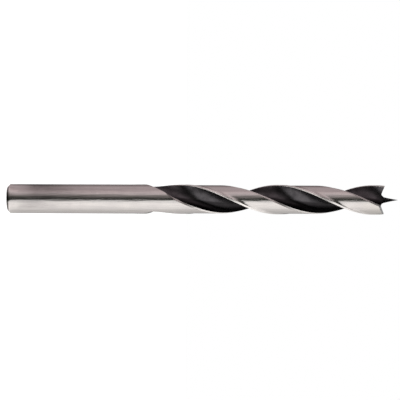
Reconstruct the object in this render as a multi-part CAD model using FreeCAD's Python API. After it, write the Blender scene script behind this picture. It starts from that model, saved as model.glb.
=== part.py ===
import FreeCAD, Part
import math
import os

# Brad point drill bit for wood: one piece of steel with a plain round shank, two
# right-hand helical flutes and a three-point tip.
# The bit stands on its shank end at the origin, with +Z running up to the centre point.
# At the height of the spurs the cutting lips run along X.

# Overall sizes, in millimetres
bit_length = 133.0
bit_diameter = 10.0
flute_length = 86.0          # from the centre point down to where the flutes leave the shank

# Shank
shank_relief = 0.05          # how far the shank lies under the margins, to slide into a chuck
shank_taper = 4.0            # height over which it widens to the full diameter
shank_gap = 1.0              # left between the taper and the end of the flutes
end_chamfer_length = 1.0
end_chamfer_depth = 1.3

# Flutes
flute_count = 2
lead = 64.9                  # height of one full turn
web_thickness = 2.4          # steel left between the flute floors
flute_opening = 98.5         # degrees round the outside, from lip corner to heel
floor_turn = 61.0            # degrees from the lip corner to the deepest line of the flute
heel_chamfer_width = 0.6
heel_chamfer_drop = 0.28
wheel_radius = 22.0          # of the wheel that leaves the run-out at the shank

# Lands
margin_width = 0.8
ramp_width = 1.0             # hollow that leads from the margin down to the cleared land
clearance_depth = 0.2
clearance_start = 13.0       # above the end of the flutes, where the clearance is full
clearance_wheel_radius = 40.0

# Point
brad_height = 4.6            # centre point above the spurs
brad_flat = 0.1              # width of the blunt end of the centre point
brad_base_depth = 5.0        # below the centre point
brad_base_radius = 1.05
brad_bow = 0.08              # hollow of the ground sides of the centre point
brad_taper = 13.0            # degrees, of the hollow faces that look into the flutes
brad_hollow_radius = 2.5
valley_depth = 0.8           # below the base of the centre point
valley_radius = 1.85
valley_rounding = 0.6
lip_slope = 18.0             # degrees, rising from the valley to the spur
lip_relief = 12.0            # degrees, falling from the lip back to the heel
gash_turn = 5.0              # degrees between the ground gash and the square to the lip

# Cutting shapes
overrun = 2.0                # how far a cutter reaches past the steel
section_step = 3.0           # height between two sections of a helical cutter
section_fit = 0.001          # how closely the curves of a section follow their arcs
section_pieces = 4           # spans that such a curve may have, and its degree
section_degree = 3

# Sizes that follow from the ones above
radius = bit_diameter / 2
shank_radius = radius - shank_relief
web_radius = web_thickness / 2
land_radius = radius - clearance_depth
outside = radius + overrun
spur_z = bit_length - brad_height
exit_z = bit_length - flute_length
taper_z = exit_z - shank_gap
flute_depth = radius - web_radius
lip_angle = math.degrees(math.asin(web_radius / radius))
heel_angle = lip_angle + flute_opening
up = FreeCAD.Vector(0, 0, 1)
centre = FreeCAD.Vector(0, 0, 0)


def polar(distance, degrees):
    """Point at a distance from the axis and an angle from X."""
    turn = math.radians(degrees)
    return FreeCAD.Vector(distance * math.cos(turn), distance * math.sin(turn), 0)


def arc_degrees(width):
    """Angle that a width takes on the outside of the bit."""
    return math.degrees(width / radius)


def line(start, end):
    """Straight edge between two points."""
    return Part.LineSegment(start, end)


def arc_about(middle, start, end):
    """Arc about a middle point, the short way from start to end."""
    bisector = (start - middle) + (end - middle)
    crown = middle + bisector.normalize() * start.distanceToPoint(middle)
    return Part.Arc(start, crown, end)


def arc_off_floor(floor, normal, point, past=0):
    """Arc that leaves a floor square to the normal, meets a point and may run past it."""
    chord = point - floor
    size = chord.Length ** 2 / (2 * chord.dot(normal))
    middle = floor + normal * size
    turn = 2 * math.degrees(math.asin(chord.Length / (2 * size))) + math.degrees(past / size)
    if normal.cross(chord).z < 0:
        turn = -turn
    crown = middle + FreeCAD.Rotation(up, -turn / 2).multVec(floor - middle)
    end = middle + FreeCAD.Rotation(up, -turn).multVec(floor - middle)
    return Part.Arc(floor, crown, end)


def wire_of(curves):
    """Closed outline from curves that follow each other."""
    return Part.Wire([curve.toShape() for curve in curves])


def smooth(arc):
    """Light curve along an arc, which keeps a loft through many sections light too."""
    return arc.approximateBSpline(section_fit, section_pieces, section_degree)


def helix_turn(z):
    """Angle of the flutes at a height, counted from where they stand at the spurs."""
    return 360 * (z - spur_z) / lead


def wheel_lift(z, full_z, wheel, highest):
    """How far a wheel stands off its full depth at a height in its run-out."""
    if z >= full_z:
        return 0.0
    reach = min(full_z - z, math.sqrt(2 * wheel * highest - highest ** 2))
    return wheel - math.sqrt(wheel ** 2 - reach ** 2)


def section_heights(start_z):
    """Heights of the sections of a helical cutter, from the run-out past the point."""
    end_z = bit_length + overrun
    steps = math.ceil((end_z - start_z) / section_step)
    return [start_z + (end_z - start_z) * step / steps for step in range(steps + 1)]


def helical_cutter(section_at, start_z):
    """Solid through the sections of a cutter, each turned to its place on the helix."""
    sections = []
    for z in section_heights(start_z):
        section = section_at(z)
        section.rotate(centre, up, helix_turn(z))
        section.translate(up * z)
        sections.append(section)
    return Part.makeLoft(sections, True, False)


def round_copies(shape):
    """The shape and its copies, spaced evenly round the axis, one for each flute."""
    copies = []
    for number in range(flute_count):
        copy = shape.copy()
        copy.rotate(centre, up, 360 * number / flute_count)
        copies.append(copy)
    return copies


def make_blank():
    """Turned blank: a round bar with a slightly thinner shank, chamfered at its end."""
    outline = [
        FreeCAD.Vector(0, 0, 0),
        FreeCAD.Vector(shank_radius - end_chamfer_depth, 0, 0),
        FreeCAD.Vector(shank_radius, 0, end_chamfer_length),
        FreeCAD.Vector(shank_radius, 0, taper_z - shank_taper),
        FreeCAD.Vector(radius, 0, taper_z),
        FreeCAD.Vector(radius, 0, bit_length),
        FreeCAD.Vector(0, 0, bit_length),
    ]
    profile = Part.Face(Part.makePolygon(outline + outline[:1]))
    return profile.revolve(centre, up, 360)


def flute_section(lift):
    """Outline of the flute: rake face, floor, heel side and the chamfer on the heel."""
    lip = polar(radius, lip_angle)
    floor_normal = polar(1, lip_angle + floor_turn)
    floor = floor_normal * web_radius
    heel = polar(land_radius - heel_chamfer_drop, heel_angle)
    land_edge = polar(land_radius, heel_angle + arc_degrees(heel_chamfer_width))
    beyond = land_edge + (land_edge - heel) * (overrun / heel_chamfer_drop)
    rake = arc_off_floor(floor, floor_normal, lip, overrun)
    over = Part.Arc(rake.EndPoint, polar(beyond.Length, lip_angle + flute_opening / 2), beyond)
    section = wire_of([
        smooth(rake),
        smooth(over),
        line(beyond, heel),
        smooth(arc_off_floor(floor, floor_normal, heel)),
    ])
    section.translate(polar(lift, lip_angle + flute_opening / 2))
    return section


def make_flute():
    """Helical flute that runs out towards the shank as its wheel lifts away."""
    run_out = math.sqrt(2 * wheel_radius * flute_depth - flute_depth ** 2)
    full_z = exit_z + run_out

    def section_at(z):
        return flute_section(wheel_lift(z, full_z, wheel_radius, 2 * flute_depth))

    return helical_cutter(section_at, exit_z - overrun)


def clearance_section(lift):
    """Outline that clears the land behind the margin, down to a hollow ramp."""
    low = land_radius + lift
    high = outside + lift
    heel_side = heel_angle - 360 / flute_count
    margin_side = lip_angle - arc_degrees(margin_width)
    foot_side = margin_side - arc_degrees(ramp_width)
    middle = (heel_side + foot_side) / 2
    ramp_foot = polar(low, foot_side)
    ramp = arc_off_floor(ramp_foot, polar(1, foot_side), polar(radius + lift, margin_side), overrun)
    return wire_of([
        smooth(Part.Arc(polar(low, heel_side), polar(low, middle), ramp_foot)),
        smooth(ramp),
        line(ramp.EndPoint, polar(high, lip_angle)),
        smooth(Part.Arc(polar(high, lip_angle), polar(high, middle), polar(high, heel_side))),
        line(polar(high, heel_side), polar(low, heel_side)),
    ])


def make_clearance():
    """Shallow helical cut that leaves only the margin at full diameter."""
    full_z = exit_z + clearance_start

    def section_at(z):
        return clearance_section(
            wheel_lift(z, full_z, clearance_wheel_radius, 2 * clearance_depth))

    return helical_cutter(section_at, exit_z)


def rounded_corner(before, corner, after, rounding):
    """Two tangent points and the middle of the arc that rounds a corner."""
    back = (before - corner).normalize()
    ahead = (after - corner).normalize()
    half = back.getAngle(ahead) / 2
    reach = rounding / math.tan(half)
    middle = corner + (back + ahead).normalize() * (rounding / math.sin(half))
    return corner + back * reach, middle, corner + ahead * reach


def gash_profile():
    """Outline of the ground gash: side of the centre point, valley and cutting lip."""
    top_z = bit_length + overrun
    tip = FreeCAD.Vector(brad_flat / 2, 0, bit_length)
    base = FreeCAD.Vector(brad_base_radius, 0, bit_length - brad_base_depth)
    side = base - tip
    hollow = FreeCAD.Vector(side.z, 0, -side.x).normalize() * brad_bow
    valley = FreeCAD.Vector(valley_radius, 0, base.z - valley_depth)
    lip_run = outside - valley_radius
    far = valley + FreeCAD.Vector(lip_run, 0, lip_run * math.tan(math.radians(lip_slope)))
    start, middle, end = rounded_corner(base, valley, far, valley_rounding)
    return wire_of([
        Part.Arc(tip, (tip + base) * 0.5 + hollow, base),
        line(base, start),
        arc_about(middle, start, end),
        line(end, far),
        line(far, FreeCAD.Vector(far.x, 0, top_z)),
        line(FreeCAD.Vector(far.x, 0, top_z), FreeCAD.Vector(tip.x, 0, top_z)),
        line(FreeCAD.Vector(tip.x, 0, top_z), tip),
    ])


def make_gash():
    """Gash ground across one land, which leaves the lip, the spur and the relief."""
    back = math.radians(lip_relief)
    path = FreeCAD.Vector(0, -math.cos(back), -math.sin(back)) * (2 * outside)
    profile = Part.Face(gash_profile())
    profile.translate(path * -0.5)
    gash = profile.extrude(path)
    gash.rotate(centre, up, -gash_turn)
    return gash


def make_brad_hollow():
    """Hollow that thins the centre point on the side of one flute."""
    tilt = math.radians(brad_taper)
    downwards = FreeCAD.Vector(0, math.sin(tilt), -math.cos(tilt))
    outwards = FreeCAD.Vector(0, math.cos(tilt), math.sin(tilt))
    tip = FreeCAD.Vector(0, brad_flat / 2, bit_length)
    start = tip + outwards * brad_hollow_radius - downwards * overrun
    length = overrun + (web_radius / math.tan(tilt)) / math.cos(tilt)
    return Part.makeCylinder(brad_hollow_radius, length, start, downwards)


def make_bit():
    """The finished bit: the blank less everything that is ground away."""
    bit = make_blank()
    for cutter in (make_clearance(), make_flute(), make_gash(), make_brad_hollow()):
        bit = bit.cut(round_copies(cutter))
    return bit


os.makedirs("parts", exist_ok=True)
bit = make_bit()
bit.exportStep("parts/drill_bit.step")
print("drill_bit", "valid", bit.isValid(), "solids", len(bit.Solids), "faces", len(bit.Faces),
      "volume", round(bit.Volume, 1))
print("box", bit.BoundBox)
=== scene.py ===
import bpy
import math
from mathutils import Matrix, Vector


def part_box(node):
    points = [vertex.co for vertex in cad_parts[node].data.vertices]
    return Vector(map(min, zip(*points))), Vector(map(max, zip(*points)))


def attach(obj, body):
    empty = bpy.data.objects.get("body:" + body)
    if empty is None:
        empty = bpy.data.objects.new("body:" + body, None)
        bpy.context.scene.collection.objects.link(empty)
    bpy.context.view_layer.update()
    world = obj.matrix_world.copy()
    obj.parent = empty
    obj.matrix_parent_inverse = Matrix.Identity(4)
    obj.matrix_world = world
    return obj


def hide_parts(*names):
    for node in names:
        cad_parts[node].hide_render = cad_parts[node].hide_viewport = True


# Brad point drill bit: black flutes, ground shank and lands, standing on its shank end.
# It is turned as a bar, then clearance, flutes, tip gashes and centre point are cut away, as a grinder does.

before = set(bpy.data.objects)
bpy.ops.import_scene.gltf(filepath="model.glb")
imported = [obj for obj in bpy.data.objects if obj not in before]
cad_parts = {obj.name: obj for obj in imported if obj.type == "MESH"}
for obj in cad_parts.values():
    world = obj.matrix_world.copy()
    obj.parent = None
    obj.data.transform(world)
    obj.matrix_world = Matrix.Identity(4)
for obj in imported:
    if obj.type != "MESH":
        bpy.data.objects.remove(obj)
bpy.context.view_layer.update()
mm = 0.001
bitLow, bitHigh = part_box("drill_bit")
bitLength = bitHigh.z - bitLow.z
bitRadius = (bitHigh.x - bitLow.x) / 2
print("frame loaded, bit", round(bitLength / mm, 2), "mm long")


def deselectAll():
    if bpy.context.object and bpy.context.object.mode != "OBJECT":
        bpy.ops.object.mode_set(mode="OBJECT")
    bpy.ops.object.select_all(action="DESELECT")


def pick(piece):
    deselectAll()
    piece.select_set(True)
    bpy.context.view_layer.objects.active = piece


def editAll(piece):
    pick(piece)
    bpy.ops.object.mode_set(mode="EDIT")
    bpy.ops.mesh.select_all(action="SELECT")


def leaveEdit():
    bpy.ops.mesh.select_all(action="SELECT")
    bpy.ops.mesh.normals_make_consistent(inside=False)
    bpy.ops.object.mode_set(mode="OBJECT")


def polar(distance, degrees):
    return Vector((distance * math.cos(math.radians(degrees)), distance * math.sin(math.radians(degrees)), 0))


def arcSteps(middle, start, turn, steps):
    return [middle + Matrix.Rotation(turn * step / steps, 3, "Z") @ (start - middle) for step in range(steps + 1)]


def lineSteps(start, direction, length, steps, crowding=1.0):
    return [start + direction * length * (step / steps) ** crowding for step in range(steps + 1)]


# shader helpers

def newNode(tree, kind, **settings):
    node = tree.nodes.new(kind)
    for name, value in settings.items():
        setattr(node, name, value)
    return node


def feed(tree, source, target):
    if isinstance(source, bpy.types.NodeSocket):
        tree.links.new(source, target)
    else:
        target.default_value = source


def doMath(tree, operation, first, second=0.0):
    node = newNode(tree, "ShaderNodeMath", operation=operation)
    feed(tree, first, node.inputs[0])
    feed(tree, second, node.inputs[1])
    return node.outputs[0]


def spread(tree, value, low, high, fromLow=0.0, fromHigh=1.0):
    node = newNode(tree, "ShaderNodeMapRange")
    feed(tree, value, node.inputs["Value"])
    feed(tree, fromLow, node.inputs["From Min"])
    feed(tree, fromHigh, node.inputs["From Max"])
    feed(tree, low, node.inputs["To Min"])
    feed(tree, high, node.inputs["To Max"])
    return node.outputs["Result"]


def blend(tree, share, first, second):
    node = newNode(tree, "ShaderNodeMix", data_type="RGBA")
    feed(tree, share, node.inputs[0])
    feed(tree, first, node.inputs[6])
    feed(tree, second, node.inputs[7])
    return node.outputs[2]


def startGroup(name, inputs, outputs):
    group = bpy.data.node_groups.new(name, "ShaderNodeTree")
    for label, value in inputs.items():
        socket = group.interface.new_socket(name=label, in_out="INPUT", socket_type="NodeSocketFloat")
        socket.default_value = value
    for label in outputs:
        group.interface.new_socket(name=label, in_out="OUTPUT", socket_type="NodeSocketFloat")
    return group, group.nodes.new("NodeGroupInput"), group.nodes.new("NodeGroupOutput")


def useGroup(tree, group, **values):
    node = tree.nodes.new("ShaderNodeGroup")
    node.node_tree = group
    for label, value in values.items():
        feed(tree, value, node.inputs[label])
    return node


def startMaterial(name):
    material = bpy.data.materials.new(name)
    material.use_nodes = True
    return material, material.node_tree, material.node_tree.nodes["Principled BSDF"]


def addBump(tree, shader, height, depth):
    bump = newNode(tree, "ShaderNodeBump")
    bump.inputs["Distance"].default_value = depth
    feed(tree, height, bump.inputs["Height"])
    tree.links.new(bump.outputs["Normal"], shader.inputs["Normal"])


bitSizes = {
    "endChamferLength": 1.0 * mm,
    "endChamferDepth": 1.3 * mm,
    "endRounding": 0.25 * mm,      # of the chamfer's two edges
    "shankRelief": 0.05 * mm,
    "shankTop": 42.0 * mm,         # where the shank starts to widen
    "taperTop": 46.0 * mm,
    "roundSteps": 256,
    "shankRings": 12,
    "taperRings": 4,
    "ringStep": 1.0 * mm,          # above the taper
    "fluteCount": 2,
    "lead": 64.9 * mm,
    "fluteLength": 86.0 * mm,
    "web": 2.4 * mm,
    "opening": 98.5,               # degrees
    "floorTurn": 61.0,             # degrees
    "lipRounding": 0.3 * mm,
    "lipCrossing": 10.0,           # degrees
    "lipReach": 2.2 * mm,          # of the flute cutter, past the lip
    "heelWidth": 0.6 * mm,
    "heelDrop": 0.28 * mm,
    "heelReach": 1.7 * mm,         # of the flute cutter, along the heel's chamfer
    "fluteWheel": 22.0 * mm,       # radius of the wheel that leaves the run-out
    "overrun": 2.0 * mm,
    "sweepStep": 0.5 * mm,
    "margin": 0.8 * mm,
    "ramp": 1.0 * mm,
    "clearance": 0.2 * mm,
    "clearanceStart": 13.0 * mm,
    "clearanceWheel": 40.0 * mm,
    "bradHeight": 4.6 * mm,
    "bradFlat": 0.1 * mm,
    "bradDepth": 5.0 * mm,
    "bradRadius": 1.05 * mm,
    "bradBow": 0.08 * mm,
    "bradTaper": 13.0,             # degrees
    "bradHollow": 2.5 * mm,
    "valleyDepth": 0.8 * mm,
    "valleyRadius": 1.85 * mm,
    "valleyRounding": 0.6 * mm,
    "lipSlope": 18.0,              # degrees
    "lipRelief": 12.0,             # degrees
    "gashTurn": 5.0,               # degrees
    "mergeWithin": 0.004 * mm,     # cleans up after the cuts
    "smoothUnder": 12.0,           # degrees
}

spurZ = bitLength - bitSizes["bradHeight"]
exitZ = bitLength - bitSizes["fluteLength"]
topZ = bitLength + bitSizes["overrun"]
webRadius = bitSizes["web"] / 2
landRadius = bitRadius - bitSizes["clearance"]
outside = bitRadius + bitSizes["overrun"]
lipAngle = math.degrees(math.asin(webRadius / bitRadius))
heelAngle = lipAngle + bitSizes["opening"]
marginZ = exitZ + bitSizes["clearanceStart"]


def helixTurn(z):
    return 360 * (z - spurZ) / bitSizes["lead"]


def wheelLift(z, fullZ, wheel, highest):
    reach = min(max(fullZ - z, 0), math.sqrt(2 * wheel * highest - highest ** 2))
    return wheel - math.sqrt(wheel ** 2 - reach ** 2)


def turnSelected(degrees):
    bpy.ops.transform.rotate(value=-math.radians(degrees), orient_axis="Z", center_override=(0, 0, 0))


def arcOffFloor(floor, normal, point, steps, past=0):
    chord = point - floor
    size = chord.length_squared / (2 * chord.dot(normal))
    turn = 2 * math.asin(chord.length / (2 * size)) + past / size
    if normal.cross(chord).z > 0:
        turn = -turn
    return arcSteps(floor + normal * size, floor, turn, steps)


def outlineFace(name, outline, **spans):
    deselectAll()
    bpy.ops.mesh.primitive_circle_add(vertices=len(outline), radius=bitRadius, fill_type="NGON")
    face = bpy.context.object
    face.name = name
    for vertex, place in zip(face.data.vertices, outline):
        vertex.co = place
    for span, points in spans.items():
        face.vertex_groups.new(name=span).add(list(points), 1.0, "REPLACE")
    return face


def sweepUp(cutter, startZ, moveStep):
    steps = math.ceil((topZ - startZ) / bitSizes["sweepStep"])
    heights = [startZ + (topZ - startZ) * step / steps for step in range(steps + 1)]
    editAll(cutter)
    bpy.ops.transform.translate(value=(0, 0, startZ))
    turnSelected(helixTurn(startZ))
    for low, high in zip(heights, heights[1:]):
        bpy.ops.mesh.extrude_region_move(TRANSFORM_OT_translate={"value": (0, 0, high - low)})
        turnSelected(helixTurn(high) - helixTurn(low))
        moveStep(low, high)
    leaveEdit()


def easeLip(rake):
    along = (rake[-1] - rake[-2]).normalized()
    awayFromFlute = rake[-1].normalized().cross(Vector((0, 0, 1)))
    turn = along.angle(awayFromFlute) - math.radians(bitSizes["lipCrossing"])
    reach = bitSizes["lipRounding"] * math.tan(turn / 2)
    kept = [point for point in rake if (point - rake[-1]).length > reach]
    start = rake[-1] - along * reach
    side = along.cross(Vector((0, 0, 1)))
    corner = arcSteps(start + side * bitSizes["lipRounding"], start, -turn, 8)
    leaving = lineSteps(corner[-1], Matrix.Rotation(-turn, 3, "Z") @ along, bitSizes["lipReach"], 9, 1.6)
    return kept, corner + leaving[1:]


def makeFluteCutter():
    sizes = bitSizes
    floorNormal = polar(1, lipAngle + sizes["floorTurn"])
    floor = floorNormal * webRadius
    heel = polar(landRadius - sizes["heelDrop"], heelAngle)
    landEdge = polar(landRadius, heelAngle + math.degrees(sizes["heelWidth"] / bitRadius))
    rake, lipEdge = easeLip(arcOffFloor(floor, floorNormal, polar(bitRadius, lipAngle), 30))
    heelSide = arcOffFloor(floor, floorNormal, heel, 26)
    alongHeel = (landEdge - heel).normalized()
    heelChamfer = lineSteps(heel, alongHeel, sizes["heelReach"], 14)      # short steps stay smooth
    middleAngle = lipAngle + sizes["opening"] / 2
    outline = rake + lipEdge + [polar(bitRadius * 1.8, middleAngle)] + heelChamfer[::-1] + heelSide[-2:0:-1]
    chamferFrom = len(rake) + len(lipEdge) + 1
    cutter = outlineFace("flute_cutter", outline, lip=range(len(rake), chamferFrom - 1),
                         heel=range(chamferFrom, chamferFrom + len(heelChamfer)))
    highest = 2 * (bitRadius - webRadius)
    fullZ = exitZ + math.sqrt(sizes["fluteWheel"] * highest - (highest / 2) ** 2)
    startZ = exitZ - sizes["overrun"]

    def liftAt(z):
        return wheelLift(z, fullZ, sizes["fluteWheel"], highest)

    def moveStep(low, high):
        away = polar(liftAt(high) - liftAt(low), middleAngle + helixTurn(high))
        if away.length > 0:
            bpy.ops.transform.translate(value=away)

    for vertex in cutter.data.vertices:
        vertex.co += polar(liftAt(startZ), middleAngle)
    sweepUp(cutter, startZ, moveStep)
    return cutter


def makeClearanceCutter():
    sizes = bitSizes
    heelSide = heelAngle - 360 / sizes["fluteCount"]
    marginSide = lipAngle - math.degrees(sizes["margin"] / bitRadius)
    footSide = marginSide - math.degrees(sizes["ramp"] / bitRadius)

    def lowAt(z):
        return landRadius + wheelLift(z, marginZ, sizes["clearanceWheel"], 2 * sizes["clearance"])

    def moveStep(low, high):
        grow = lowAt(high) / lowAt(low)
        if abs(grow - 1) > 1e-9:
            bpy.ops.transform.resize(value=(grow, grow, 1), center_override=(0, 0, 0))

    foot = polar(landRadius, footSide)
    ramp = arcOffFloor(foot, polar(1, footSide), polar(bitRadius, marginSide), 16, sizes["overrun"])
    land = [polar(landRadius, heelSide + (footSide - heelSide) * step / 40) for step in range(40)]
    high = [polar(outside, lipAngle + (heelSide - lipAngle) * step / 12) for step in range(13)]
    cutter = outlineFace("clearance_cutter", land + ramp + high)
    for vertex in cutter.data.vertices:
        vertex.co *= lowAt(exitZ) / landRadius
    sweepUp(cutter, exitZ, moveStep)
    return cutter


def makeGashCutter():
    sizes = bitSizes
    tip = Vector((sizes["bradFlat"] / 2, 0, bitLength))
    base = Vector((sizes["bradRadius"], 0, bitLength - sizes["bradDepth"]))
    side = base - tip
    bow = side.cross(Vector((0, 1, 0))).normalized() * -sizes["bradBow"]
    brad = [tip + side * step / 16 + bow * (step / 8) * (2 - step / 8) for step in range(17)]
    valley = Vector((sizes["valleyRadius"], 0, base.z - sizes["valleyDepth"]))
    run = outside - sizes["valleyRadius"]
    far = valley + Vector((run, 0, run * math.tan(math.radians(sizes["lipSlope"]))))
    back = (base - valley).normalized()
    ahead = (far - valley).normalized()
    half = back.angle(ahead) / 2
    middle = valley + (back + ahead).normalized() * (sizes["valleyRounding"] / math.sin(half))
    start = valley + back * (sizes["valleyRounding"] / math.tan(half))
    end = valley + ahead * (sizes["valleyRounding"] / math.tan(half))
    hinge = (start - middle).cross(end - middle).normalized()
    spin = Matrix.Rotation((start - middle).angle(end - middle) / 14, 3, hinge)
    valleyArc = [start]
    for step in range(14):
        valleyArc.append(middle + spin @ (valleyArc[-1] - middle))
    outline = brad + valleyArc + [far, Vector((far.x, 0, topZ)), Vector((tip.x, 0, topZ))]
    lipFrom = len(brad) + len(valleyArc) - 1
    cutter = outlineFace("gash_cutter", outline, lip=[lipFrom, lipFrom + 1])
    lean = math.radians(sizes["lipRelief"])
    path = Vector((0, -math.cos(lean), -math.sin(lean))) * (2 * outside)
    editAll(cutter)
    bpy.ops.transform.translate(value=-path / 2)
    bpy.ops.mesh.extrude_region_move(TRANSFORM_OT_translate={"value": path})
    bpy.ops.mesh.select_all(action="SELECT")
    turnSelected(-sizes["gashTurn"])
    leaveEdit()
    return cutter


def makeHollowCutter():
    sizes = bitSizes
    tilt = math.radians(sizes["bradTaper"])
    down = Vector((0, math.sin(tilt), -math.cos(tilt)))
    out = Vector((0, math.cos(tilt), math.sin(tilt)))
    start = Vector((0, sizes["bradFlat"] / 2, bitLength)) + out * sizes["bradHollow"] - down * sizes["overrun"]
    length = sizes["overrun"] + (webRadius / math.tan(tilt)) / math.cos(tilt)
    deselectAll()
    bpy.ops.mesh.primitive_cylinder_add(vertices=160, radius=sizes["bradHollow"], depth=length,
                                        location=start + down * (length / 2), rotation=(tilt, 0, 0))
    cutter = bpy.context.object
    cutter.name = "hollow_cutter"
    bpy.ops.object.transform_apply(location=True, rotation=True, scale=True)
    return cutter


def makeBar():
    sizes = bitSizes
    shankRadius = bitRadius - sizes["shankRelief"]
    endRadius = shankRadius - sizes["endChamferDepth"]
    deselectAll()
    bpy.ops.mesh.primitive_circle_add(vertices=sizes["roundSteps"], radius=endRadius, fill_type="NGON")
    bar = bpy.context.object
    bar.name = "brad_point_bit"

    def growTo(low, high, lowRadius, highRadius, steps):
        for step in range(steps):
            before = lowRadius + (highRadius - lowRadius) * step / steps
            after = lowRadius + (highRadius - lowRadius) * (step + 1) / steps
            bpy.ops.mesh.extrude_region_move(TRANSFORM_OT_translate={"value": (0, 0, (high - low) / steps)})
            if after != before:
                bpy.ops.transform.resize(value=(after / before, after / before, 1), center_override=(0, 0, 0))

    editAll(bar)
    growTo(0, sizes["endChamferLength"], endRadius, shankRadius, 1)
    growTo(sizes["endChamferLength"], sizes["shankTop"], shankRadius, shankRadius, sizes["shankRings"])
    growTo(sizes["shankTop"], sizes["taperTop"], shankRadius, bitRadius, sizes["taperRings"])
    bodyRings = round((bitLength - sizes["taperTop"]) / sizes["ringStep"])
    growTo(sizes["taperTop"], bitLength, bitRadius, bitRadius, bodyRings)
    leaveEdit()
    editAll(bar)
    bpy.ops.mesh.select_mode(type="EDGE")
    bpy.ops.mesh.select_all(action="DESELECT")
    bpy.ops.object.mode_set(mode="OBJECT")
    for edge in bar.data.edges:
        heights = [bar.data.vertices[corner].co.z for corner in edge.vertices]
        edge.select = abs(heights[0] - heights[1]) < 1e-6 and heights[0] < sizes["endChamferLength"] * 1.01
    bpy.ops.object.mode_set(mode="EDIT")
    bpy.ops.mesh.bevel(offset=sizes["endRounding"], segments=5, affect="EDGES")
    bpy.ops.mesh.select_mode(type="VERT")
    leaveEdit()
    return bar


def copiesRound(cutter):
    parts = [cutter]
    for number in range(1, bitSizes["fluteCount"]):
        twin = cutter.copy()
        twin.data = cutter.data.copy()
        bpy.context.collection.objects.link(twin)
        twin.data.transform(Matrix.Rotation(2 * math.pi * number / bitSizes["fluteCount"], 4, "Z"))
        parts.append(twin)
    pick(cutter)
    for part in parts:
        part.select_set(True)
    bpy.ops.object.join()


def finishCutter(cutter, main, spans):
    cutter.data.materials.append(main)
    for span, material in spans.items():
        cutter.data.materials.append(material)
        editAll(cutter)
        bpy.ops.mesh.select_all(action="DESELECT")
        cutter.vertex_groups.active_index = cutter.vertex_groups[span].index
        bpy.ops.object.vertex_group_select()
        cutter.active_material_index = len(cutter.data.materials) - 1
        bpy.ops.object.material_slot_assign()
        bpy.ops.object.mode_set(mode="OBJECT")


def cutAway(bit, cutter, main, crossing=False, **spans):
    finishCutter(cutter, main, spans)
    copiesRound(cutter)
    pick(bit)
    bpy.ops.object.modifier_add(type="BOOLEAN")
    cut = bit.modifiers[-1]
    cut.operation = "DIFFERENCE"
    cut.solver = "EXACT"
    cut.use_self = crossing
    cut.material_mode = "TRANSFER"
    cut.object = cutter
    bpy.ops.object.modifier_apply(modifier=cut.name)
    print(cutter.name, "cut away, faces now", len(bit.data.polygons))
    bpy.data.objects.remove(cutter)


# shared effects of the finishes

def makeLongMarks():
    group, given, result = startGroup("long_marks", {"Across": 2000.0, "Along": 150.0, "Detail": 3.0}, ["Mark"])
    place = newNode(group, "ShaderNodeTexCoord")
    scales = newNode(group, "ShaderNodeCombineXYZ")
    for axis, label in zip("XYZ", ("Across", "Across", "Along")):
        feed(group, given.outputs[label], scales.inputs[axis])
    stretched = newNode(group, "ShaderNodeVectorMath", operation="MULTIPLY")
    feed(group, place.outputs["Object"], stretched.inputs[0])
    feed(group, scales.outputs[0], stretched.inputs[1])
    marks = newNode(group, "ShaderNodeTexNoise")
    marks.inputs["Scale"].default_value = 1
    feed(group, given.outputs["Detail"], marks.inputs["Detail"])
    feed(group, stretched.outputs[0], marks.inputs["Vector"])
    feed(group, spread(group, marks.outputs[0], 0, 1, 0.3, 0.7), result.inputs["Mark"])
    return group


def makeMottling():
    group, given, result = startGroup("mottling", {"Scale": 300.0, "Speckle": 0.3}, ["Cloud", "Grain"])
    place = newNode(group, "ShaderNodeTexCoord")
    cloud = newNode(group, "ShaderNodeTexNoise")
    cloud.inputs["Detail"].default_value = 4
    cloud.inputs["Distortion"].default_value = 0.4
    grain = newNode(group, "ShaderNodeTexNoise")
    grain.inputs["Detail"].default_value = 2
    for noise in (cloud, grain):
        feed(group, place.outputs["Object"], noise.inputs["Vector"])
    feed(group, given.outputs["Scale"], cloud.inputs["Scale"])
    feed(group, doMath(group, "MULTIPLY", given.outputs["Scale"], 12.0), grain.inputs["Scale"])
    soft = spread(group, cloud.outputs[0], 0, 1, 0.32, 0.68)
    fine = spread(group, grain.outputs[0], 0, 1, 0.35, 0.65)
    speckled = doMath(group, "MULTIPLY", fine, given.outputs["Speckle"])
    feed(group, doMath(group, "ADD", soft, speckled), result.inputs["Cloud"])
    feed(group, fine, result.inputs["Grain"])
    return group


def makeHeightFade():
    inputs = {"From": 0.0, "To": 0.001, "Waver": 0.0002, "Scale": 900.0}
    group, given, result = startGroup("height_fade", inputs, ["Fade"])
    place = newNode(group, "ShaderNodeTexCoord")
    split = newNode(group, "ShaderNodeSeparateXYZ")
    noise = newNode(group, "ShaderNodeTexNoise")
    feed(group, place.outputs["Object"], split.inputs[0])
    feed(group, place.outputs["Object"], noise.inputs["Vector"])
    feed(group, given.outputs["Scale"], noise.inputs["Scale"])
    swing = doMath(group, "MULTIPLY", doMath(group, "SUBTRACT", noise.outputs[0], 0.5), given.outputs["Waver"])
    height = doMath(group, "ADD", split.outputs["Z"], swing)
    feed(group, spread(group, height, 0, 1, given.outputs["From"], given.outputs["To"]), result.inputs["Fade"])
    return group


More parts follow.
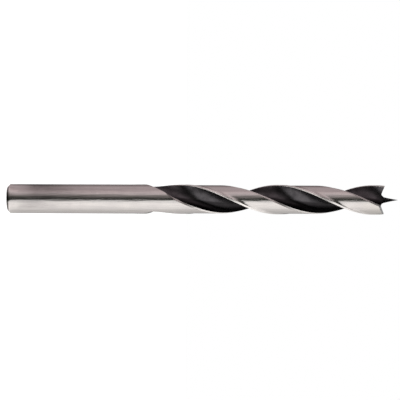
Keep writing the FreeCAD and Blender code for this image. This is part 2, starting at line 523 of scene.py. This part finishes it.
def makeRimWear():
    group, given, result = startGroup("rim_wear", {"From": 0.0046, "To": 0.005, "Scale": 2500.0}, ["Wear"])
    place = newNode(group, "ShaderNodeTexCoord")
    flat = newNode(group, "ShaderNodeVectorMath", operation="MULTIPLY")
    flat.inputs[1].default_value = (1, 1, 0)
    size = newNode(group, "ShaderNodeVectorMath", operation="LENGTH")
    noise = newNode(group, "ShaderNodeTexNoise")
    feed(group, place.outputs["Object"], flat.inputs[0])
    feed(group, flat.outputs[0], size.inputs[0])
    feed(group, place.outputs["Object"], noise.inputs["Vector"])
    feed(group, given.outputs["Scale"], noise.inputs["Scale"])
    rim = spread(group, size.outputs["Value"], 0, 1, given.outputs["From"], given.outputs["To"])
    patches = spread(group, noise.outputs[0], 0, 1, 0.45, 0.7)
    feed(group, doMath(group, "MULTIPLY", rim, patches), result.inputs["Wear"])
    return group


def makeFlutePlace():
    group, given, result = startGroup("flute_place", {"Start": 0.0, "Lead": 0.06}, ["Share"])
    place = newNode(group, "ShaderNodeTexCoord")
    split = newNode(group, "ShaderNodeSeparateXYZ")
    feed(group, place.outputs["Object"], split.inputs[0])
    bearing = doMath(group, "ARCTAN2", split.outputs["Y"], split.outputs["X"])
    turns = doMath(group, "DIVIDE", doMath(group, "SUBTRACT", bearing, given.outputs["Start"]), math.tau)
    wound = doMath(group, "DIVIDE", doMath(group, "SUBTRACT", split.outputs["Z"], spurZ), given.outputs["Lead"])
    shares = doMath(group, "MULTIPLY", doMath(group, "SUBTRACT", turns, wound), bitSizes["fluteCount"])
    feed(group, doMath(group, "FRACT", shares), result.inputs["Share"])      # 0 at one flute's start, 1 at the next
    return group


longMarks = makeLongMarks()
mottling = makeMottling()
heightFade = makeHeightFade()
rimWear = makeRimWear()
flutePlace = makeFlutePlace()


finishes = {
    "groundDark": (0.57, 0.56, 0.56, 1),
    "groundLight": (0.64, 0.63, 0.62, 1),
    "groundDull": (0.54, 0.52, 0.525, 1),
    "dullShare": 0.3,                              # at most
    "groundStraw": (0.60, 0.58, 0.50, 1),          # towards the tip
    "strawShare": 0.5,
    "strawSpan": (118 * mm, 134 * mm),
    "endPaintedShade": (0.055, 0.052, 0.052, 1),          # painted shade: the steel turns near black on the chamfer, for the dark it mirrors there
    "endSpan": (0.6 * mm, 0.95 * mm),
    "groundRoughness": (0.13, 0.19),
    "groundDepth": 0.024 * mm,
    "marginLight": (0.96, 0.95, 0.94, 1),
    "marginDark": (0.88, 0.87, 0.86, 1),
    "marginStart": (0.60, 0.59, 0.58, 1),          # as the shank, before the clearance begins
    "marginSpan": (marginZ - 3.5 * mm, marginZ + 2 * mm),
    "marginRoughness": (0.16, 0.44),
    "marginDepth": 0.003 * mm,
    "oxideLight": (0.092, 0.089, 0.096, 1),
    "oxideDark": (0.050, 0.048, 0.053, 1),
    "oxideHeelShade": (0.012, 0.011, 0.012, 1),        # painted shade towards the heel of each flute
    "heelShadeShare": 0.78,
    "heelShadeSpan": (0.41, 0.56),                     # of the way from one flute's start to the next
    "fluteStart": lipAngle - 20,                   # degrees, a little before the lip
    "oxideWorn": (0.45, 0.44, 0.43, 1),
    "wornShare": 0.35,
    "wornSpan": (bitRadius * 0.93, bitRadius * 1.03),
    "oxideBare": (0.60, 0.59, 0.58, 1),            # where the wheel first touches
    "oxideSpan": (exitZ + 1.6 * mm, exitZ + 3.2 * mm),
    "oxideRoughness": (0.24, 0.33),
    "oxideDepth": 0.004 * mm,
}


def makeGroundSteel():
    material, tree, steel = startMaterial("ground_steel")
    looks = finishes
    marks = useGroup(tree, longMarks, Across=1500.0, Along=110.0)
    hairlines = useGroup(tree, longMarks, Across=500.0, Along=9000.0, Detail=1.0)
    clouds = useGroup(tree, mottling, Scale=260.0, Speckle=0.15)
    # painted shade: below endSpan the steel fades to near black, standing in for the dark the chamfer mirrors
    ground = useGroup(tree, heightFade, From=looks["endSpan"][0], To=looks["endSpan"][1], Waver=0.1 * mm)
    straw = useGroup(tree, heightFade, From=looks["strawSpan"][0], To=looks["strawSpan"][1],
                     Waver=8 * mm, Scale=400.0)
    clean = blend(tree, marks.outputs["Mark"], looks["groundDark"], looks["groundLight"])
    dullness = doMath(tree, "MULTIPLY", clouds.outputs["Cloud"], looks["dullShare"])
    dulled = blend(tree, dullness, clean, looks["groundDull"])
    tint = doMath(tree, "MULTIPLY", straw.outputs["Fade"], looks["strawShare"])
    tinted = blend(tree, tint, dulled, looks["groundStraw"])
    feed(tree, blend(tree, ground.outputs["Fade"], looks["endPaintedShade"], tinted), steel.inputs["Base Color"])
    steel.inputs["Metallic"].default_value = 1
    satin = spread(tree, clouds.outputs["Cloud"], *looks["groundRoughness"])
    combed = doMath(tree, "MULTIPLY", hairlines.outputs["Mark"], 0.03)
    feed(tree, doMath(tree, "ADD", satin, combed), steel.inputs["Roughness"])
    height = doMath(tree, "ADD", marks.outputs["Mark"], doMath(tree, "MULTIPLY", hairlines.outputs["Mark"], 0.04))
    addBump(tree, steel, height, looks["groundDepth"])
    return material


def makeMarginSteel():
    material, tree, steel = startMaterial("margin_steel")
    looks = finishes
    marks = useGroup(tree, longMarks, Across=900.0, Along=5000.0, Detail=2.0)
    clouds = useGroup(tree, mottling, Scale=500.0, Speckle=0.25)
    begun = useGroup(tree, heightFade, From=looks["marginSpan"][0], To=looks["marginSpan"][1], Waver=0.5 * mm)
    matt = blend(tree, clouds.outputs["Cloud"], looks["marginLight"], looks["marginDark"])
    feed(tree, blend(tree, begun.outputs["Fade"], looks["marginStart"], matt), steel.inputs["Base Color"])
    steel.inputs["Metallic"].default_value = 1
    satin = spread(tree, begun.outputs["Fade"], *looks["marginRoughness"])
    combed = spread(tree, marks.outputs["Mark"], -0.04, 0.04)
    feed(tree, doMath(tree, "ADD", satin, combed), steel.inputs["Roughness"])
    addBump(tree, steel, marks.outputs["Mark"], looks["marginDepth"])
    return material


def makeBlackOxide():
    material, tree, steel = startMaterial("black_oxide")
    looks = finishes
    clouds = useGroup(tree, mottling, Scale=420.0, Speckle=0.4)
    marks = useGroup(tree, longMarks, Across=2600.0, Along=900.0)
    rim = useGroup(tree, rimWear, From=looks["wornSpan"][0], To=looks["wornSpan"][1])
    begun = useGroup(tree, heightFade, From=looks["oxideSpan"][0], To=looks["oxideSpan"][1], Waver=1.2 * mm)
    flute = useGroup(tree, flutePlace, Start=math.radians(looks["fluteStart"]), Lead=bitSizes["lead"])
    tone = blend(tree, clouds.outputs["Cloud"], looks["oxideDark"], looks["oxideLight"])
    # painted shade: the oxide darkens towards each flute's heel side, where the flute lies in its own shade
    heelShadeMask = spread(tree, flute.outputs["Share"], 0, looks["heelShadeShare"], *looks["heelShadeSpan"])
    heelShaded = blend(tree, heelShadeMask, tone, looks["oxideHeelShade"])
    wear = doMath(tree, "MULTIPLY", rim.outputs["Wear"], looks["wornShare"])
    worn = blend(tree, wear, heelShaded, looks["oxideWorn"])
    feed(tree, blend(tree, begun.outputs["Fade"], looks["oxideBare"], worn), steel.inputs["Base Color"])
    steel.inputs["Metallic"].default_value = 1
    feed(tree, spread(tree, clouds.outputs["Grain"], *looks["oxideRoughness"]), steel.inputs["Roughness"])
    height = doMath(tree, "ADD", clouds.outputs["Grain"], marks.outputs["Mark"])
    addBump(tree, steel, height, looks["oxideDepth"])
    return material


groundSteel = makeGroundSteel()
marginSteel = makeMarginSteel()
blackOxide = makeBlackOxide()
print("finishes made")

bit = makeBar()
bit.data.materials.append(groundSteel)
bit.data.materials.append(marginSteel)
for face in bit.data.polygons:
    if face.center.z > finishes["marginSpan"][0] + 0.1 * mm:
        face.material_index = 1      # what the clearance leaves of it is the margin
cutAway(bit, makeClearanceCutter(), groundSteel)
cutAway(bit, makeFluteCutter(), blackOxide, lip=marginSteel, heel=marginSteel)
cutAway(bit, makeGashCutter(), blackOxide, lip=marginSteel)
cutAway(bit, makeHollowCutter(), blackOxide, crossing=True)      # the two meet above the tip
editAll(bit)
bpy.ops.mesh.remove_doubles(threshold=bitSizes["mergeWithin"])
bpy.ops.mesh.dissolve_degenerate(threshold=bitSizes["mergeWithin"])
leaveEdit()
bpy.ops.object.shade_smooth_by_angle(angle=math.radians(bitSizes["smoothUnder"]))
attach(bit, "root")
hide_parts("drill_bit")
print("bit made,", [material.name for material in bit.data.materials],
      sum(len(face.vertices) - 2 for face in bit.data.polygons), "triangles")


stageSizes = {
    "floor": 40.0,
    "floorGlow": 0.95,             # to what sees it as background
    "skyLevel": 0.1,               # as light on the bit
    "tentRadius": 0.3,
    "tentHeight": 0.24,
    "tentGap": 0.00002,            # over the floor
    "upperHeight": 0.225,          # of its wall above the bit in the photo, so the flutes stay dark there
    "upperTurn": (7.2, 21.6),      # degrees over which the wall sinks to that
    "wallFade": 0.02,              # under the wall's upper edge
    "lidGap": (0.072, 0.09),       # radius of the grey middle of its black lid
    "lidGrey": 0.55,
    "lidWhite": 0.9,               # of the part of the lid behind the bit
    "backPanel": (-0.16, -0.22),   # where that part begins and is full
    "shade": 0.3,                  # of the light on its bottom that the flutes above see
    "shadeFrom": (0.06, 0.075),    # radius where the shade begins
    "shadeShift": 0.03,            # how much further out that is on the side above the bit in the photo
    "shadeTo": (0.115, 0.14),      # and where it ends on the other side
    "sideTurn": (-3.6, 7.2),       # degrees between those sides
    "noShadeTurn": (-86.4, -61.2), # degrees before which there is none
    "lampTurn": 75.0,              # degrees from the camera
    "lampDistance": 0.6,
    "lampHeight": 0.12,
    "lampSize": 0.2,
    "lampPower": 6.0,
}

photoView = {
    "viewAngle": 80.0,             # degrees round the bit
    "distance": 0.75,
    "lens": 198.1,
    "centreZ": 0.06571,            # what it looks at
    "shiftUp": -0.0002,
    "roll": -0.22,                 # degrees
}

# degrees round the bit from the camera, up in the photo being positive, and what the tent shows there
tentLights = [
    (-180, (0.05, 0.05, 0.05)),
    (-162, (0.25, 0.24, 0.24)),
    (-145, (0.68, 0.66, 0.64)),
    (-120, (0.74, 0.71, 0.69)),
    (-95, (0.90, 0.86, 0.83)),
    (-80, (1.12, 1.08, 1.05)),
    (-55, (1.30, 1.24, 1.20)),
    (-38, (1.36, 1.30, 1.26)),
    (-20, (1.20, 1.16, 1.13)),
    (-15, (1.05, 1.02, 0.99)),
    (-9, (0.04, 0.04, 0.035)),
    (6, (0.04, 0.04, 0.035)),
    (18, (0.20, 0.18, 0.17)),
    (28, (0.38, 0.34, 0.33)),
    (43, (0.80, 0.69, 0.69)),
    (58, (0.75, 0.62, 0.62)),
    (80, (0.52, 0.425, 0.43)),
    (103, (0.60, 0.505, 0.51)),
    (130, (0.38, 0.31, 0.31)),
    (150, (0.14, 0.12, 0.12)),
    (180, (0.05, 0.05, 0.05)),
]


def seenRays(tree):
    rays = newNode(tree, "ShaderNodeLightPath")
    seen = doMath(tree, "MAXIMUM", rays.outputs["Is Camera Ray"], rays.outputs["Is Glossy Ray"])
    return doMath(tree, "MAXIMUM", seen, rays.outputs["Is Transmission Ray"])


def makeFloor():
    deselectAll()
    bpy.ops.mesh.primitive_plane_add(size=stageSizes["floor"], location=(0, 0, 0))
    floor = bpy.context.object
    floor.name = "floor"
    material, tree, board = startMaterial("floor_white")
    board.inputs["Base Color"].default_value = (0.9, 0.9, 0.9, 1)
    board.inputs["Roughness"].default_value = 0.9
    board.inputs["Emission Color"].default_value = (1, 1, 1, 1)
    feed(tree, doMath(tree, "MULTIPLY", seenRays(tree), stageSizes["floorGlow"]), board.inputs["Emission Strength"])
    floor.data.materials.append(material)


def startCard(name):
    material = bpy.data.materials.new(name)
    material.use_nodes = True
    tree = material.node_tree
    tree.nodes.clear()
    place = newNode(tree, "ShaderNodeTexCoord")
    turned = newNode(tree, "ShaderNodeMapping")      # X then points at the photo's camera
    turned.inputs["Rotation"].default_value = (0, 0, -math.radians(photoView["viewAngle"]))
    split = newNode(tree, "ShaderNodeSeparateXYZ")
    flat = newNode(tree, "ShaderNodeVectorMath", operation="MULTIPLY")
    flat.inputs[1].default_value = (1, 1, 0)
    size = newNode(tree, "ShaderNodeVectorMath", operation="LENGTH")
    light = newNode(tree, "ShaderNodeEmission")
    out = newNode(tree, "ShaderNodeOutputMaterial")
    feed(tree, place.outputs["Object"], turned.inputs["Vector"])
    feed(tree, turned.outputs["Vector"], split.inputs[0])
    feed(tree, place.outputs["Object"], flat.inputs[0])
    feed(tree, flat.outputs[0], size.inputs[0])
    feed(tree, light.outputs[0], out.inputs["Surface"])
    return material, tree, light, split, size.outputs["Value"]


def makeLidCard():
    material, tree, light, split, distance = startCard("lid_card")
    stage = stageSizes
    grey = spread(tree, distance, stage["lidGrey"], 0, *stage["lidGap"])
    white = spread(tree, split.outputs["X"], 0, stage["lidWhite"], *stage["backPanel"])
    feed(tree, doMath(tree, "MAXIMUM", grey, white), light.inputs["Strength"])
    return material


def turnShare(degrees):
    return (degrees + 180) / 360


def makeTentCloth(name, isBottom):
    material, tree, light, split, distance = startCard(name)
    stage = stageSizes
    ramp = newNode(tree, "ShaderNodeValToRGB")
    stops = ramp.color_ramp.elements
    for number, (degrees, colour) in enumerate(tentLights):
        stop = stops[number] if number < 2 else stops.new(1)
        stop.position = turnShare(degrees)
        stop.color = (*colour, 1)
    share = spread(tree, doMath(tree, "ARCTAN2", split.outputs["Y"], split.outputs["X"]), 0, 1, math.pi, -math.pi)
    feed(tree, share, ramp.inputs["Fac"])
    feed(tree, ramp.outputs["Color"], light.inputs["Color"])
    if isBottom:
        below = spread(tree, share, 1, 0, *map(turnShare, stage["sideTurn"]))
        beside = spread(tree, share, 1, 0, *map(turnShare, stage["noShadeTurn"]))
        shifted = doMath(tree, "SUBTRACT", distance, spread(tree, below, stage["shadeShift"], 0))
        near = spread(tree, shifted, 1, 0, *stage["shadeFrom"])
        far = doMath(tree, "MULTIPLY", spread(tree, distance, 0, 1, *stage["shadeTo"]), below)
        lit = doMath(tree, "MAXIMUM", doMath(tree, "MAXIMUM", near, beside), far)
        feed(tree, spread(tree, lit, stage["shade"], 1), light.inputs["Strength"])
    else:
        top = spread(tree, share, stage["tentHeight"], stage["upperHeight"], *map(turnShare, stage["upperTurn"]))
        over = doMath(tree, "SUBTRACT", split.outputs["Z"], top)
        feed(tree, spread(tree, over, 1, 0, -stage["wallFade"], 0), light.inputs["Strength"])
    return material


def makeTent():
    deselectAll()
    bpy.ops.mesh.primitive_circle_add(vertices=96, radius=stageSizes["tentRadius"], fill_type="NGON",
                                      location=(0, 0, stageSizes["tentGap"]))
    tent = bpy.context.object
    tent.name = "light_tent"
    editAll(tent)
    bpy.ops.mesh.extrude_region_move(TRANSFORM_OT_translate={"value": (0, 0, stageSizes["tentHeight"])})
    leaveEdit()
    for material in (makeTentCloth("tent_wall", False), makeTentCloth("tent_bottom", True), makeLidCard()):
        tent.data.materials.append(material)
    for face in tent.data.polygons:
        if face.center.z < stageSizes["tentHeight"] * 0.1:
            face.material_index = 1
        elif face.center.z > stageSizes["tentHeight"] * 0.9:
            face.material_index = 2
    tent.visible_camera = False      # it is only there for the steel to mirror
    tent.visible_diffuse = False
    tent.visible_shadow = False


def makeWorld():
    world = bpy.data.worlds.new("studio")
    world.use_nodes = True
    tree = world.node_tree
    sky = tree.nodes["Background"]
    sky.inputs["Color"].default_value = (1, 1, 1, 1)
    feed(tree, spread(tree, seenRays(tree), stageSizes["skyLevel"], 1), sky.inputs["Strength"])
    bpy.context.scene.world = world


def makeSideLamp():
    stage = stageSizes
    place = polar(stage["lampDistance"], photoView["viewAngle"] + stage["lampTurn"])
    place.z = stage["lampHeight"]
    lamp = bpy.data.objects.new("side_lamp", bpy.data.lights.new("side_lamp", "AREA"))
    bpy.context.scene.collection.objects.link(lamp)
    lamp.data.size = stage["lampSize"]
    lamp.data.energy = stage["lampPower"]
    lamp.location = place
    lamp.rotation_mode = "QUATERNION"
    lamp.rotation_quaternion = (Vector((0, 0, bitLength / 2)) - place).to_track_quat("-Z", "Y")
    lamp.visible_glossy = False
    lamp.visible_camera = False


def makeCamera():
    view = photoView
    toward = polar(1, view["viewAngle"])
    right = Vector((0, 0, 1))        # the bit lies across the photo, its tip to the right
    up = toward.cross(right)
    roll = math.radians(view["roll"])
    across = right * math.cos(roll) - up * math.sin(roll)
    above = up * math.cos(roll) + right * math.sin(roll)
    camera = bpy.data.objects.new("photo_camera", bpy.data.cameras.new("photo_camera"))
    bpy.context.scene.collection.objects.link(camera)
    camera.data.lens = view["lens"]
    camera.data.sensor_width = 36
    camera.data.clip_end = 10
    place = Matrix((across, above, toward)).transposed().to_4x4()
    place.translation = Vector((0, 0, view["centreZ"])) + up * view["shiftUp"] + toward * view["distance"]
    camera.matrix_world = place
    bpy.context.scene.camera = camera


makeFloor()
makeTent()
makeWorld()
makeSideLamp()
makeCamera()
bpy.context.scene.view_settings.view_transform = "Standard"
print("stage set")
